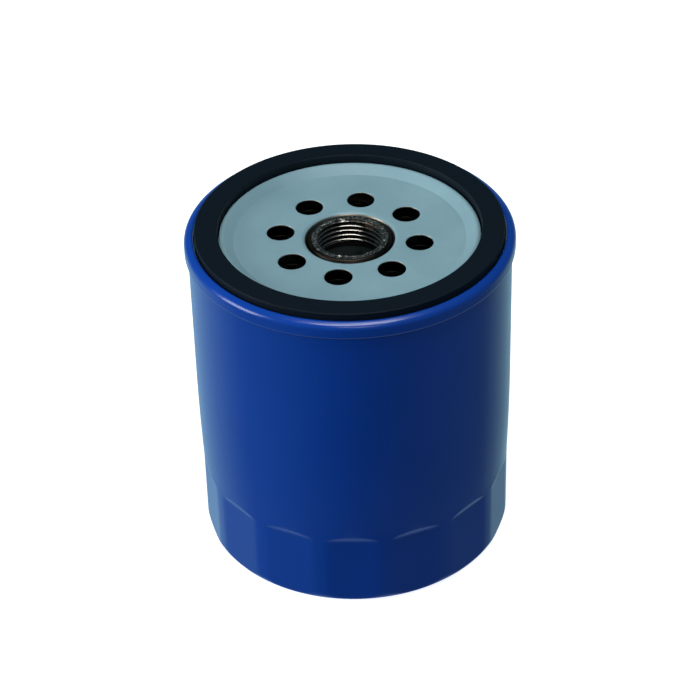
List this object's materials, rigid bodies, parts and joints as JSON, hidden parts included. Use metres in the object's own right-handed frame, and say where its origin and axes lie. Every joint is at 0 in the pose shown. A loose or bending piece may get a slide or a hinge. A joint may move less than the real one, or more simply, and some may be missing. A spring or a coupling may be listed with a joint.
{
  "type": "spin-on oil filter",
  "caption": "Spin-on oil filter: drawn blue can with wrench flats, seamed grey lid with inlet holes, threaded plate and rubber gasket.",
  "frame": {"origin": "centre of the closed end, on the plane that the can stands on", "axes": "+Z along the can's axis, from the closed end towards the threaded end; +X is 10 degrees anticlockwise of an inlet hole"},
  "size_m": [0.093, 0.093, 0.101],
  "materials": {
    "blue_paint": "gloss",
    "grey_paint": "satin",
    "sealing_compound": "matte",
    "gasket_rubber": "matte",
    "oiled_steel": "oily, as pressed",
    "valve_rubber": "matte",
    "tinplate": "bright",
    "potting": "matte",
    "filter_paper": "fibrous",
    "plain_steel": "as pressed",
    "spring_steel": "drawn wire"
  },
  "bodies": {
    "canister": {"can": "blue_paint", "seaming_lid": "grey_paint", "seam_compound": "sealing_compound", "gasket": "gasket_rubber", "base_plate": "oiled_steel", "spot_welds": "oiled_steel", "upper_end_cap": "tinplate", "upper_potting": "potting", "filter_media": "filter_paper", "media_seam_clip": "tinplate", "center_tube": "tinplate", "lower_potting": "potting", "lower_end_cap": "tinplate", "relief_seat": "tinplate", "relief_cage": "tinplate", "support_spring": "spring_steel"},
    "drain_valve": {"anti_drain_valve": "valve_rubber"},
    "relief_valve": {"relief_disc": "plain_steel", "relief_seal": "gasket_rubber", "relief_spring": "spring_steel"}
  },
  "joints": [
    {"name": "relief_lift", "type": "slide", "parent": "canister", "child": "relief_valve", "axis": [0, 0, 1], "range_m": [0, 0.0025], "stiffness_N_per_m": 1000, "springref_m": -0.013, "deforming": ["relief_spring"]},
    {"name": "drain_valve_drop", "type": "slide", "parent": "canister", "child": "drain_valve", "axis": [0, 0, -1], "range_m": [0, 0.0012], "stiffness_N_per_m": 400, "springref_m": -0.0015, "deforming": ["anti_drain_valve"]}
  ]
}
